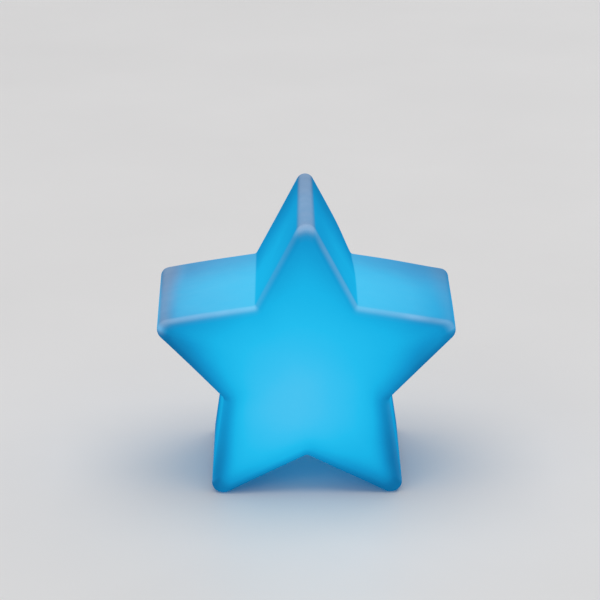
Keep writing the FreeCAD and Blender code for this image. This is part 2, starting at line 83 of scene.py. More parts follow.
star_low, star_high = (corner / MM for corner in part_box("star_shell"))
ARM_TURN = math.pi / 2 - 2 * TURN
TIP_REACH = (star_high.x - TIP_ROUND) / math.cos(ARM_TURN)     # middle to the centre of a tip's rounding
STAR_R = TIP_REACH + TIP_ROUND / math.sin(TIP_HALF)
SIDE_DISTANCE = STAR_R * math.sin(TIP_HALF)
CENTRE_Z = star_high.z - TIP_REACH - TIP_ROUND
FRONT, BACK = star_low.y, star_high.y


# Star's outline and rings

def outline(inset, tip_round):
    """Points (x, z) of the star with its sides moved in by inset, anticlockwise from the top tip."""
    scale = (SIDE_DISTANCE - inset) / SIDE_DISTANCE
    arcs = []
    for i in range(2 * POINTS):
        is_tip = i % 2 == 0
        radius = tip_round if is_tip else NOTCH_ROUND + inset
        reach = scale * STAR_R * (1.0 if is_tip else NOTCH_RATIO)
        arcs.append(corner_arc(i, reach, radius, is_tip))
    points = []
    for arc, following in zip(arcs, arcs[1:] + arcs[:1]):
        share = np.linspace(0, 1, SIDE_STEPS + 1)[1:-1, None]
        points += [arc, arc[-1] * (1 - share) + following[0] * share]
    return np.concatenate(points)


def corner_arc(i, reach, radius, is_tip):
    """The rounding of corner i. A tip's arc bends one way and a notch's the other."""
    half = TIP_HALF if is_tip else NOTCH_HALF
    steps = TIP_STEPS if is_tip else NOTCH_STEPS
    side = 1.0 if is_tip else -1.0
    sweep = side * (math.pi / 2 - half)
    centre = reach - side * radius / math.sin(half)
    turn = np.linspace(-sweep, sweep, steps + 1)
    along = centre + side * radius * np.cos(turn)
    across = side * radius * np.sin(turn)
    direction = math.pi / 2 + i * TURN
    x = along * math.cos(direction) - across * math.sin(direction)
    z = along * math.sin(direction) + across * math.cos(direction)
    return np.stack([x, z], 1)


def side_up(points):
    """How far up the side wall at each outline point faces, from -1 to 1."""
    along = np.roll(points, -1, 0) - np.roll(points, 1, 0)
    along /= np.linalg.norm(along, axis=1)[:, None]
    return -along[:, 0]


def tip_at(y):
    """The tips' rounding tightens from the front to the back."""
    return TIP_FRONT + (TIP_BACK - TIP_FRONT) * (y - FRONT) / (BACK - FRONT)


def smooth(value, low, high):
    """0 up to low, 1 from high, and an even curve between them."""
    share = np.clip((value - low) / (high - low), 0, 1)
    return share * share * (3 - 2 * share)


RIM_OUTLINE = outline(RIM, FACE_TIP)
AROUND = len(RIM_OUTLINE)
DIRECTIONS = RIM_OUTLINE / np.linalg.norm(RIM_OUTLINE, axis=1)[:, None]
SIDE_UP = side_up(RIM_OUTLINE)


# Glow: how brightly the light inside shows through each place, from 0 to 1, with painted shade along the
# sides that face down. A pair of numbers is where a change begins and where it is complete: across (X), up
# (Z), out from the middle (REACH), or by how far a side faces up (UP).

LIT = 0.79
ARM_FALL, ARM_POWER = 0.47, 1.5
LEG_LIFT, LEG_Z = 0.16, (0.4 * STAR_R, 0.8 * STAR_R)
TOP_LIFT, TOP_Z = 0.04, (0.5 * STAR_R, 0.7 * STAR_R)
SPOT, SPOT_X, SPOT_Z, SPOT_WIDE = 0.26, -8.5, -19.0, 19.7
TIP_REACH_FROM_TO = (0.82 * STAR_R, 0.91 * STAR_R)
RIGHT_ARM_X, RIGHT_ARM_Z = (10, 30), (-10, 0)
RIGHT_OF_TOP_X = (0, 6)

# Each side's darkening and its width, from the top's left side anticlockwise. The glow fades a little at
# every side; the stronger darkening of the lower sides is painted shade.
EDGE_DIMS = np.array([0.08, 0.08, 0.32, 0.37, 0.30, 0.38, 0.38, 0.28, 0.08, 0.08])
EDGE_WIDES = np.array([3.5, 3.5, 4.6, 2.5, 3.0, 3.4, 2.7, 4.6, 3.5, 3.5])
EDGE_SOFT, DISC_POINTS = 1.4, 8
ARM_END_REACH, ARM_END_Z = (0.62 * STAR_R, 0.86 * STAR_R), (-15, 5)
ARM_END_LESS, RIGHT_END_LESS, LEFT_TO_RIGHT_X = 0.35, 0.3, (-10, 10)

# Side walls: the upward ones are lit most, then the steep ones beside the top, then the ones that face down.
# Besides the light inside, this glow holds painted light on the upward walls and painted shade on the
# downward ones.
SIDE_NEAR, SIDE_FALL, STEEP_FALL = 36.0, 0.0125, 0.0065
TOP_LIT, STEEP_LIT, LOW_LIT, RIGHT_DIM = 0.75, 0.585, 0.29, 0.055
LOW_TO_STEEP_UP, STEEP_TO_TOP_UP = (-0.35, 0.3), (0.3, 0.95)
SIDE_BACK_DIM, SIDE_BACK_FROM = 0.42, 0.4
END_LIFT, END_LIFT_UP, END_LIFT_Z = 0.10, (0.2, 0.8), (-10, 10)
LEAST_LIT, LEAST_SHARP = 0.16, 20.0
TIP_DIM, TIP_DIM_UP, TIP_DIM_RIGHT_LESS = 0.24, (0.3, 0.9), 0.85
RIM_DIM, LOW_RIM_DIM, RIM_DIM_UP, RIM_DIM_TIP_LESS = 0.10, 0.04, (0, 0.9), 0.8
SIDE_EDGE_DIM, SIDE_EDGE_WIDE = 0.04, 3.5
BACK_LIT, BACK_FALL, UNIT_SHADE, UNIT_SHADE_WIDE = 0.47, 0.20, 0.14, 6.0

# Painted sheen: base colour whitened, as an albedo, where the overhead light's sheen and highlights would
# show
SIDE_PAINTED_SHEEN, TIP_PAINTED_SHEEN, RIM_PAINTED_HIGHLIGHT, BACK_RIM_PAINTED_HIGHLIGHT = 0.074, 0.155, 0.158, 0.11
SHEEN_UP, SHEEN_UP_ON_ARM = (0.45, 0.9), (0.75, 0.4)             # the second pair is taken off on the arms
SHEEN_REACH, SHEEN_REACH_NEAR = (0.79, 0.91), (0.05, 0.01)       # the second pair is added at the front
SHEEN_ARM_X, SHEEN_ARM_LESS, SHEEN_RIGHT_LESS = (10, 30), 0.3, 0.5
LEFT_MORE, LEFT_MORE_X = 0.2, 40
FRONT_DEPTH, BACK_MORE = 0.85, 0.3
RIGHT_NEAR_LESS, RIGHT_NEAR_X = 0.6, (40, 54)
RIM_UP, RIM_END_UP, RIM_END_Z, RIM_END_RIGHT_LESS = (0.2, 0.9), (-0.5, 0.2), (-10, 0), 0.8
RIM_TOP_MORE, RIM_TOP_Z = 0.4, (30, 40)
RIGHT_OF_TOP, RIGHT_OF_TOP_UP = 0.8, (0.1, 0.3)
RIGHT_RIM, RIGHT_RIM_TIP_LESS = 0.4, 0.15
RIM_HIGHLIGHT_STREAK, STREAK_X, STREAK_WIDE = 0.75, 41.0, 8.0                # painted highlight along a stretch of the right arm's rim
RIM_LINE_ON, RIM_LINE_OFF = (0.35, 0.93), (1.05, 1.66)         # turns round the front rim, in radians, of the painted highlight line
BACK_RIM_SHARP = 3


def reach_of(points):
    return np.linalg.norm(points, axis=1)


def tipness(points):
    """1 on a point's rounded end, falling to 0 a few millimetres along its sides."""
    return smooth(reach_of(points), *TIP_REACH_FROM_TO)


def on_right_arm(points):
    return smooth(points[:, 0], *RIGHT_ARM_X) * smooth(points[:, 1], *RIGHT_ARM_Z)


def edge_dim(points):
    """How much darker the front is near each side, averaged over a small disc so that no crease shows.
    Along the lower sides most of it is painted shade.
    """
    corner = np.arange(2 * POINTS)
    reach = np.where(corner % 2 == 0, 1.0, NOTCH_RATIO) * STAR_R * (1 - RIM / SIDE_DISTANCE)
    turn = math.pi / 2 + TURN * corner
    starts = np.stack([reach * np.cos(turn), reach * np.sin(turn)], 1)
    along = np.roll(starts, -1, 0) - starts
    around = np.linspace(0, 2 * math.pi, DISC_POINTS + 1)[:-1]
    disc = [(0.0, 0.0)]
    disc += [(r * math.cos(a), r * math.sin(a)) for r in (EDGE_SOFT, 2 * EDGE_SOFT) for a in around]
    total = np.zeros(len(points))
    for offset in disc:
        away = (points + offset)[:, None] - starts
        share = np.clip((away * along).sum(2) / (along ** 2).sum(1), 0, 1)
        distance = np.linalg.norm(away - share[..., None] * along, axis=2)
        nearest = distance.argmin(1)
        cross = along[:, 0] * away[..., 1] - along[:, 1] * away[..., 0]
        inside = (cross > 0)[np.arange(len(points)), nearest]
        depth = np.where(inside, distance.min(1), 0)
        total += EDGE_DIMS[nearest] * np.exp(-depth / EDGE_WIDES[nearest])
    arm_end = smooth(reach_of(points), *ARM_END_REACH) * smooth(points[:, 1], *ARM_END_Z)
    less = ARM_END_LESS + RIGHT_END_LESS * smooth(points[:, 0], *LEFT_TO_RIGHT_X)
    return total / len(disc) * (1 - less * arm_end)


def front_glow(points):
    """Brightest round one spot, dimmer towards the points and along the sides."""
    legs = LEG_LIFT * smooth(-points[:, 1], *LEG_Z)
    away = (points[:, 0] - SPOT_X) ** 2 + (points[:, 1] - SPOT_Z) ** 2
    spot = np.exp(-away / (2 * SPOT_WIDE ** 2))
    top = TOP_LIFT * tipness(points) * smooth(points[:, 1], *TOP_Z)
    fall = ARM_FALL * (reach_of(points) / STAR_R) ** ARM_POWER
    return LIT - fall + SPOT * spot + legs + top - edge_dim(points)


def side_glow(points, y):
    up, over = smooth(SIDE_UP, *LOW_TO_STEEP_UP), smooth(SIDE_UP, *STEEP_TO_TOP_UP)
    steep = STEEP_LIT - RIGHT_DIM * smooth(points[:, 0], *RIGHT_OF_TOP_X)
    lit = LOW_LIT + (steep - LOW_LIT) * up + (TOP_LIT - steep) * over
    back = 1 - SIDE_BACK_DIM * smooth(y, FRONT + SIDE_BACK_FROM * (BACK - FRONT), BACK)
    edge = SIDE_EDGE_DIM * math.exp(-(y - FRONT - RIM) / SIDE_EDGE_WIDE)
    right = 1 - TIP_DIM_RIGHT_LESS * on_right_arm(points)
    ends = TIP_DIM * tipness(points) * smooth(SIDE_UP, *TIP_DIM_UP) * right
    steepness = up * (1 - over)
    fall = SIDE_FALL + (STEEP_FALL - SIDE_FALL) * steepness
    facing_out = 1 - smooth(SIDE_UP, *END_LIFT_UP)
    outer = END_LIFT * tipness(points) * facing_out * smooth(points[:, 1], *END_LIFT_Z)
    level = (lit - fall * (reach_of(points) - SIDE_NEAR)) * back - edge - ends + outer
    return LEAST_LIT + np.logaddexp(0, (level - LEAST_LIT) * LEAST_SHARP) / LEAST_SHARP


def back_glow(points):
    """Dimmer than the front, with the light unit's shade round the recess."""
    shade = UNIT_SHADE * np.exp(-((reach_of(points) - RECESS_R) / UNIT_SHADE_WIDE))
    return BACK_LIT - BACK_FALL * reach_of(points) / STAR_R - shade


def side_painted_sheen(points, y):
    """Painted sheen on the upward walls, stronger at the points' ends."""
    x = points[:, 0]
    side = 1 - LEFT_MORE * np.clip(x / LEFT_MORE_X, -1, 1)
    depth = FRONT_DEPTH + BACK_MORE * (y - FRONT) / (BACK - FRONT)
    arm = smooth(np.abs(x), *SHEEN_ARM_X)
    near = 1 - smooth(y, FRONT, BACK)
    begin, full = ((reach + more * near) * STAR_R for reach, more in zip(SHEEN_REACH, SHEEN_REACH_NEAR))
    ends = smooth(reach_of(points), begin, full)
    low, high = (up - less * arm for up, less in zip(SHEEN_UP, SHEEN_UP_ON_ARM))
    less = 1 - SHEEN_ARM_LESS * arm - SHEEN_RIGHT_LESS * on_right_arm(points)
    ends *= smooth(SIDE_UP, low, high) * less
    side *= 1 - RIGHT_NEAR_LESS * near * smooth(x, *RIGHT_NEAR_X)
    return smooth(SIDE_UP, *SHEEN_UP) * SIDE_PAINTED_SHEEN * side * depth + TIP_PAINTED_SHEEN * ends


def rim_painted_highlight(points, amount):
    """Painted highlight on the rims, all along the upper edges and round the ends of the arms."""
    right = on_right_arm(points)
    along = (points[:, 0] - STREAK_X) / STREAK_WIDE
    highlight_streak = RIGHT_RIM - RIGHT_RIM_TIP_LESS * tipness(points) + RIM_HIGHLIGHT_STREAK * np.exp(-along ** 2)
    upper = smooth(SIDE_UP, *RIM_UP) * (1 - right + right * highlight_streak)
    ends = tipness(points) * smooth(SIDE_UP, *RIM_END_UP) * smooth(points[:, 1], *RIM_END_Z)
    ends *= (1 + RIM_TOP_MORE * smooth(points[:, 1], *RIM_TOP_Z)) * (1 - RIM_END_RIGHT_LESS * right)
    right_of_top = smooth(points[:, 0], *RIGHT_OF_TOP_X) * smooth(SIDE_UP, *RIGHT_OF_TOP_UP)
    return amount * np.maximum(np.maximum(upper, ends), RIGHT_OF_TOP * right_of_top)


# Star's surface as a row of rings, from the middle of its front round to the middle of its inside

def ring(points, y, glow, painted_sheen=None):
    return {"points": points, "y": y, "glow": glow, "painted_sheen": np.zeros(AROUND) if painted_sheen is None else painted_sheen}


def circle(radius):
    return DIRECTIONS * radius


def star_rings():
    return front_rings() + side_rings() + back_rings() + recess_rings() + inner_rings()


def front_rings():
    count = int((SIDE_DISTANCE - RIM) / FACE_STEP)
    rings = []
    for i in range(1, count):
        points = RIM_OUTLINE * i / count
        rings.append(ring(points, FRONT, front_glow(points)))
    return rings


def side_rings():
    return front_rim() + wall_rings() + back_rim()


def front_rim():
    rings = []
    for i in range(RIM_STEPS + 1):
        turn = i / RIM_STEPS * math.pi / 2
        inset = RIM * (1 - math.sin(turn))
        y = FRONT + RIM * (1 - math.cos(turn))
        points = outline(inset, tip_at(y) + (FACE_TIP - tip_at(y)) * inset / RIM)
        share = i / RIM_STEPS
        dim = LOW_RIM_DIM + (RIM_DIM - LOW_RIM_DIM) * smooth(SIDE_UP, *RIM_DIM_UP)
        glow = (1 - share) * front_glow(points) + share * side_glow(points, FRONT + RIM)
        rim = smooth(turn, *RIM_LINE_ON) * (1 - smooth(turn, *RIM_LINE_OFF))
        # the wall's painted sheen, and a painted highlight line round the rim
        painted_sheen = share * side_painted_sheen(points, y) + rim * rim_painted_highlight(points, RIM_PAINTED_HIGHLIGHT)
        dim *= 1 - RIM_DIM_TIP_LESS * tipness(points)
        rings.append(ring(points, y, glow - dim * math.sin(2 * turn), painted_sheen))
    return rings


def wall_rings():
    length = BACK - FRONT - 2 * RIM
    count = int(length / WALL_STEP)
    rings = []
    for i in range(1, count):
        y = FRONT + RIM + length * i / count
        points = outline(0, tip_at(y))
        rings.append(ring(points, y, side_glow(points, y), side_painted_sheen(points, y)))
    return rings


def back_rim():
    rings = []
    for i in range(RIM_STEPS + 1):
        turn = i / RIM_STEPS * math.pi / 2
        inset = RIM * (1 - math.cos(turn))
        y = BACK - RIM * (1 - math.sin(turn))
        points = outline(inset, tip_at(y) + (FACE_TIP - tip_at(y)) * inset / RIM)
        share = i / RIM_STEPS
        glow = (1 - share) * side_glow(points, BACK - RIM) + share * back_glow(points)
        rim = min(BACK_RIM_SHARP * math.sin(2 * turn), 1)
        # the wall's painted sheen, and a thin painted highlight along the back rim
        painted_sheen = (1 - share) * side_painted_sheen(points, y) + rim * rim_painted_highlight(points, BACK_RIM_PAINTED_HIGHLIGHT)
        rings.append(ring(points, y, glow, painted_sheen))
    return rings


def back_rings():
    edge = circle(RECESS_R + EDGE_ROUND)
    rings = []
    for i in range(1, BACK_STEPS):
        points = RIM_OUTLINE + (edge - RIM_OUTLINE) * i / BACK_STEPS
        rings.append(ring(points, BACK, back_glow(points)))
    return rings


def recess_rings():
    floor = BACK - RECESS_DEEP
    rings = []
    for i in range(EDGE_STEPS + 1):
        turn = i / EDGE_STEPS * math.pi / 2
        points = circle(RECESS_R + EDGE_ROUND * (1 - math.sin(turn)))
        rings.append(ring(points, BACK - EDGE_ROUND * (1 - math.cos(turn)), back_glow(points)))
    places = [(RECESS_R, floor), (RECESS_R - LIP_STEP, floor), (OPENING_R + LIP_STEP, floor),
              (OPENING_R + LIP_ROUND, floor), (OPENING_R, floor - LIP_ROUND),
              (OPENING_R, floor - WALL + LIP_ROUND), (OPENING_R + LIP_ROUND, floor - WALL),
              (RECESS_R, floor - WALL), (RECESS_R + WALL, floor - WALL)]
    for radius, y in places:
        points = circle(radius)
        rings.append(ring(points, y, back_glow(points)))
    return rings


def inner_rings():
    """The inside of the wall: plain, because it is never seen."""
    cavity = outline(WALL + INNER_RIM, TIP_ROUND - WALL - INNER_RIM)
    wall = outline(WALL, TIP_ROUND - WALL)
    rings = [ring(circle(RECESS_R + WALL), BACK - WALL, back_glow(circle(RECESS_R + WALL)))]
    places = [(cavity, BACK - WALL), (wall, BACK - WALL - INNER_RIM), (wall, 0.0),
              (wall, FRONT + WALL + INNER_RIM), (cavity, FRONT + WALL), (cavity * 0.5, FRONT + WALL)]
    for points, y in places:
        rings.append(ring(points, y, np.full(AROUND, LIT)))
    return rings


# The soft moulding isn't quite regular: (place, spread, shift) of each gentle bulge or droop
BENDS = [
    ((-44.0, 0.0, 13.0), 28.0, (-0.1, 0.0, 1.2)),
    ((19.0, 36.0, 26.0), 11.0, (-1.3, 0.0, 0.0)),
    ((54.0, 36.0, 18.0), 16.0, (-0.5, 0.0, -0.5)),
]
BEND_DEEP = 2.0                # how much farther a bend reaches in depth than across


def settled(places):
    moved = places.copy()
    for place, spread, shift in BENDS:
        away = (places - np.array(place)) / np.array([spread, spread * BEND_DEEP, spread])
        moved += np.exp(-(away ** 2).sum(1))[:, None] * np.array(shift)
    return moved


def star_piece():
    rings = star_rings()
    places = []
    for row in rings:
        y = np.full(AROUND, row["y"])
        places.append(np.stack([row["points"][:, 0], y, row["points"][:, 1]], 1))
    middle_front = np.array([[0.0, FRONT, 0.0]])
    middle_inside = np.array([[0.0, FRONT + WALL, 0.0]])
    places = np.concatenate([middle_front] + places + [middle_inside])
    middle_glow = front_glow(np.zeros((AROUND, 2)))[:1]
    glow = np.concatenate([middle_glow] + [row["glow"] for row in rings] + [middle_glow])
    painted_sheen = np.concatenate([[0]] + [row["painted_sheen"] for row in rings] + [[0]])
    places = settled(places)
    places[:, 2] += CENTRE_Z
    places[:, 2] = np.maximum(places[:, 2], 0.0)

    faces = []
    following = [(i + 1) % AROUND for i in range(AROUND)]
    last = 1 + (len(rings) - 1) * AROUND
    for i in range(AROUND):
        faces.append((0, 1 + i, 1 + following[i]))
        faces.append((len(places) - 1, last + following[i], last + i))
    for row in range(len(rings) - 1):
        low = 1 + row * AROUND
        for i in range(AROUND):
            j = following[i]
            faces.append((low + i, low + AROUND + i, low + AROUND + j, low + j))
    mesh = bpy.data.meshes.new("star_glowing")
    mesh.from_pydata((places * MM).tolist(), [], faces)
    mesh.validate()
    # glow is the light inside with some painted shade; the second attribute is painted sheen and highlights
    # for the base colour
    for name, values in (("glow", glow), ("painted_sheen", painted_sheen)):
        mesh.attributes.new(name, "FLOAT", "POINT").data.foreach_set("value", values.astype(np.float32))
    mesh.shade_smooth()
    piece = bpy.data.objects.new("star_glowing", mesh)
    bpy.context.scene.collection.objects.link(piece)
    mesh.materials.append(lit_vinyl())
    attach(piece, "lamp_body")
    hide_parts("star_shell")


# Thread of the door's screw, wound on its plain CAD shank

THREAD_STEPS = 28
THREAD_START = 1.0                 # from the end of the screw's point
THREAD_LONG, THREAD_PITCH, THREAD_ROOT, THREAD_CREST = 5.6, 0.8, 0.93, 1.08
THREAD_PROFILE = [(-0.30, 0.0), (-0.06, 1.0), (0.06, 1.0), (0.30, 0.0)]     # share of pitch, share of height


def screw_thread(material):
    low, high = (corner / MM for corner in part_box("door_screw"))
    centre_x, centre_z = (low.x + high.x) / 2, (low.z + high.z) / 2
    start = low.y + THREAD_START
    count = int(THREAD_LONG / THREAD_PITCH * THREAD_STEPS)
    places = []
    for i in range(count + 1):
        turn = 2 * math.pi * i / THREAD_STEPS
        taper = min(1.0, i / THREAD_STEPS, (count - i) / (THREAD_STEPS / 2))
        for along, rise in THREAD_PROFILE:
            radius = THREAD_ROOT + (THREAD_CREST - THREAD_ROOT) * rise * taper
            y = start + THREAD_PITCH * (i / THREAD_STEPS + along)
            places.append((centre_x + radius * math.cos(turn), y, centre_z - radius * math.sin(turn)))
    piece = wound_piece("door_screw_thread", places, wound_faces(count, len(THREAD_PROFILE)), material)
    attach(piece, "door_screw")


def wound_faces(count, width):
    """Faces of a tube with count steps of width points each, closed at both ends."""
    faces = [tuple(range(width)), tuple(count * width + k for k in reversed(range(width)))]
    for i in range(count):
        for k in range(width):
            a, b = i * width + k, i * width + (k + 1) % width
            faces.append((a, a + width, b + width, b))
    return faces


def wound_piece(name, places, faces, material):
    mesh = bpy.data.meshes.new(name)
    mesh.from_pydata([tuple(c * MM for c in place) for place in places], [], faces)
    mesh.validate()
    mesh.materials.append(material)
    piece = bpy.data.objects.new(name, mesh)
    bpy.context.scene.collection.objects.link(piece)
    return piece


# Spring that returns the button: closed at both ends

SPRING_WIRE_R = 0.14
SPRING_TURNS, SPRING_STEPS, SPRING_SIDES = 5, 36, 10
CLOSED_PITCH = 0.27                # rise of the one closed turn at each end


def return_spring(material):
    low, high = (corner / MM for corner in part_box("switch_spring"))
    centre_x, centre_z = (low.x + high.x) / 2, (low.z + high.z) / 2
    coil_r = (high.x - low.x) / 2 - SPRING_WIRE_R
    rise = high.y - low.y - 2 * SPRING_WIRE_R
    count = SPRING_TURNS * SPRING_STEPS
    places = []
    for i in range(count + 1):
        turns = i / SPRING_STEPS
        y = np.interp(turns, [0, 1, SPRING_TURNS - 1, SPRING_TURNS],
                      [0, CLOSED_PITCH, rise - CLOSED_PITCH, rise])
        turn = 2 * math.pi * turns
        for k in range(SPRING_SIDES):
            side = 2 * math.pi * k / SPRING_SIDES
            radius = coil_r + SPRING_WIRE_R * math.cos(side)
            along = low.y + SPRING_WIRE_R + y + SPRING_WIRE_R * math.sin(side)
            places.append((centre_x + radius * math.cos(turn), along, centre_z - radius * math.sin(turn)))
    piece = wound_piece("return_spring", places, wound_faces(count, SPRING_SIDES), material)
    piece.data.shade_smooth()
    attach(piece, "lamp_body")
    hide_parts("switch_spring")
    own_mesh(piece)


# Materials

def new_material(name):
    material = bpy.data.materials.new(name)
    material.use_nodes = True
    nodes, links = material.node_tree.nodes, material.node_tree.links
    return material, nodes, links, nodes["Principled BSDF"]


def noise(nodes, links, size, detail=2.0, stretch=(1, 1, 1)):
    """A noise whose blobs are about size metres across."""
    place = nodes.new("ShaderNodeTexCoord")
    mapping = nodes.new("ShaderNodeMapping")
    mapping.inputs["Scale"].default_value = [s / size for s in stretch]
    texture = nodes.new("ShaderNodeTexNoise")
    texture.inputs["Scale"].default_value = 1.0
    texture.inputs["Detail"].default_value = detail
    links.new(place.outputs["Object"], mapping.inputs["Vector"])
    links.new(mapping.outputs["Vector"], texture.inputs["Vector"])
    return texture.outputs["Fac"]


def ranged(nodes, links, value, low, high):
    node = nodes.new("ShaderNodeMapRange")
    node.inputs["To Min"].default_value = low
    node.inputs["To Max"].default_value = high
    links.new(value, node.inputs["Value"])
    return node.outputs["Result"]


def ramp(nodes, links, value, stops):
    node = nodes.new("ShaderNodeValToRGB")
    elements = node.color_ramp.elements
    while len(elements) < len(stops):
        elements.new(0.5)
    for element, (place, colour) in zip(elements, stops):
        element.position = place
        element.color = (*colour, 1.0)
    links.new(value, node.inputs["Fac"])
    return node.outputs["Color"]


def bump(nodes, links, height, strength, distance, normal=None):
    node = nodes.new("ShaderNodeBump")
    node.inputs["Strength"].default_value = strength
    node.inputs["Distance"].default_value = distance
    links.new(height, node.inputs["Height"])
    if normal is not None:
        links.new(normal, node.inputs["Normal"])
    return node.outputs["Normal"]


def math_node(nodes, links, operation, first, second):
    node = nodes.new("ShaderNodeMath")
    node.operation = operation
    for socket, value in zip(node.inputs, (first, second)):
        if isinstance(value, (int, float)):
            socket.default_value = value
        else:
            links.new(value, socket)
    return node.outputs[0]


def lit_vinyl():
    """Translucent soft PVC with the colour light behind it."""
    material, nodes, links, shader = new_material("lit_vinyl")
    glow = nodes.new("ShaderNodeAttribute")
    glow.attribute_name = "glow"
    clouds = ranged(nodes, links, noise(nodes, links, size=0.016, detail=3.0), -0.035, 0.035)
    specks = ranged(nodes, links, noise(nodes, links, size=0.0012, detail=2.0), -0.012, 0.012)
    level = math_node(nodes, links, "ADD", glow.outputs["Fac"], clouds)
    level = math_node(nodes, links, "ADD", level, specks)
    light = ramp(nodes, links, level, GLOW_STOPS)
    links.new(light, shader.inputs["Emission Color"])
    shader.inputs["Emission Strength"].default_value = 1.0

    # Base colour: dark vinyl whitened by the painted sheen attribute, as painted sheen and highlights from
    # the overhead light
    painted_sheen = nodes.new("ShaderNodeAttribute")
    painted_sheen.attribute_name = "painted_sheen"
    mottle = ranged(nodes, links, noise(nodes, links, size=0.006, detail=3.0), 0.85, 1.15)
    mottled_sheen = math_node(nodes, links, "MULTIPLY", painted_sheen.outputs["Fac"], mottle)
    links.new(ramp(nodes, links, mottled_sheen, SKIN_AND_SHEEN_STOPS), shader.inputs["Base Color"])
    shader.inputs["Specular IOR Level"].default_value = 0.0

    links.new(ranged(nodes, links, noise(nodes, links, size=0.004), 0.40, 0.50), shader.inputs["Roughness"])
    peel = bump(nodes, links, noise(nodes, links, size=0.0016, detail=1.0),
                strength=0.25, distance=0.00004)
    waves = bump(nodes, links, noise(nodes, links, size=0.022, detail=1.0),
                 strength=0.35, distance=0.0006, normal=peel)
    links.new(waves, shader.inputs["Normal"])
    return material


GLOW_STOPS = [
    (0.0, (0.001, 0.040, 0.120)),
    (0.2, (0.002, 0.150, 0.370)),
    (0.4, (0.003, 0.285, 0.590)),
    (0.6, (0.007, 0.430, 0.760)),
    (0.75, (0.014, 0.485, 0.815)),
    (0.9, (0.038, 0.510, 0.835)),
    (1.0, (0.068, 0.525, 0.835)),
]
# Base colour by painted sheen amount: dark cyan vinyl at none, whitening towards painted sheen and highlights
SKIN_AND_SHEEN_STOPS = [
    (0.0, (0.006, 0.044, 0.075)),
    (0.1, (0.106, 0.106, 0.093)),
    (0.3, (0.306, 0.304, 0.292)),
    (1.0, (0.700, 0.700, 0.700)),
]


def plastic(name, colour, rough=0.45, grain=0.0009, depth=0.00003, strength=0.12, drift=0.02):
    """Moulded plastic: fine spark-eroded grain, slight drift in colour and gloss."""
    material, nodes, links, shader = new_material(name)
    dark = [c * (1 - drift) for c in colour]
    light = [min(c * (1 + drift), 1.0) for c in colour]
    links.new(ramp(nodes, links, noise(nodes, links, size=0.009, detail=3.0), [(0.3, dark), (0.7, light)]),
              shader.inputs["Base Color"])
    links.new(ranged(nodes, links, noise(nodes, links, size=0.003), rough - 0.03, rough + 0.03),
              shader.inputs["Roughness"])
    links.new(bump(nodes, links, noise(nodes, links, grain), strength, depth), shader.inputs["Normal"])
    return material


def metal(name, colour, rough=0.3, stretch=(1, 1, 1), grain=0.0012, tarnish=0.12):
    """Plated metal with fine scratches along one direction and slightly duller patches."""
    material, nodes, links, shader = new_material(name)
    shader.inputs["Metallic"].default_value = 1.0
    dull = [c * (1 - tarnish) for c in colour]
    links.new(ramp(nodes, links, noise(nodes, links, size=0.003, detail=4.0), [(0.35, dull), (0.65, colour)]),
              shader.inputs["Base Color"])
    scratches = noise(nodes, links, size=grain, detail=4.0, stretch=stretch)
    links.new(ranged(nodes, links, scratches, rough - 0.08, rough + 0.12), shader.inputs["Roughness"])
    links.new(bump(nodes, links, scratches, strength=0.15, distance=0.00002), shader.inputs["Normal"])
    return material


TRACKS_PER_METRE = 350


def board_mask():
    """Green solder mask over faint copper tracks."""
    material, nodes, links, shader = new_material("board_mask")
    tracks = nodes.new("ShaderNodeTexBrick")
    tracks.inputs["Color1"].default_value = (0.012, 0.105, 0.045, 1)
    tracks.inputs["Color2"].default_value = (0.014, 0.125, 0.055, 1)
    tracks.inputs["Mortar"].default_value = (0.050, 0.210, 0.090, 1)
    tracks.inputs["Scale"].default_value = 1.0
    tracks.inputs["Mortar Size"].default_value = 0.05
    place = nodes.new("ShaderNodeTexCoord")
    mapping = nodes.new("ShaderNodeMapping")
    mapping.inputs["Rotation"].default_value = (math.pi / 2, 0, 0)
    mapping.inputs["Scale"].default_value = [TRACKS_PER_METRE] * 3
    links.new(place.outputs["Object"], mapping.inputs["Vector"])
    links.new(mapping.outputs["Vector"], tracks.inputs["Vector"])
    links.new(tracks.outputs["Color"], shader.inputs["Base Color"])
    links.new(ranged(nodes, links, noise(nodes, links, size=0.002), 0.25, 0.38), shader.inputs["Roughness"])
    links.new(bump(nodes, links, tracks.outputs["Fac"], strength=0.3, distance=0.00003),
              shader.inputs["Normal"])
    return material


def lit_epoxy():
    """The LED's milky lens, lit."""
    material, nodes, links, shader = new_material("lit_epoxy")
    light = ramp(nodes, links, noise(nodes, links, size=0.002),
                 [(0.3, (0.02, 0.45, 0.85)), (0.7, (0.25, 0.75, 1.0))])
    links.new(light, shader.inputs["Emission Color"])
    shader.inputs["Emission Strength"].default_value = 2.0
    lens = ramp(nodes, links, noise(nodes, links, size=0.001), [(0, (0.5, 0.6, 0.7)), (1, (0.6, 0.7, 0.8))])
    links.new(lens, shader.inputs["Base Color"])
    shader.inputs["Roughness"].default_value = 0.15
    return material


def foam():
    material, nodes, links, shader = new_material("foam")
    cells = noise(nodes, links, size=0.0005, detail=4.0)
    links.new(ramp(nodes, links, cells, [(0.3, (0.012, 0.012, 0.013)), (0.7, (0.05, 0.05, 0.052))]),
              shader.inputs["Base Color"])
    shader.inputs["Roughness"].default_value = 0.95
    links.new(bump(nodes, links, cells, strength=0.8, distance=0.0001), shader.inputs["Normal"])
    return material


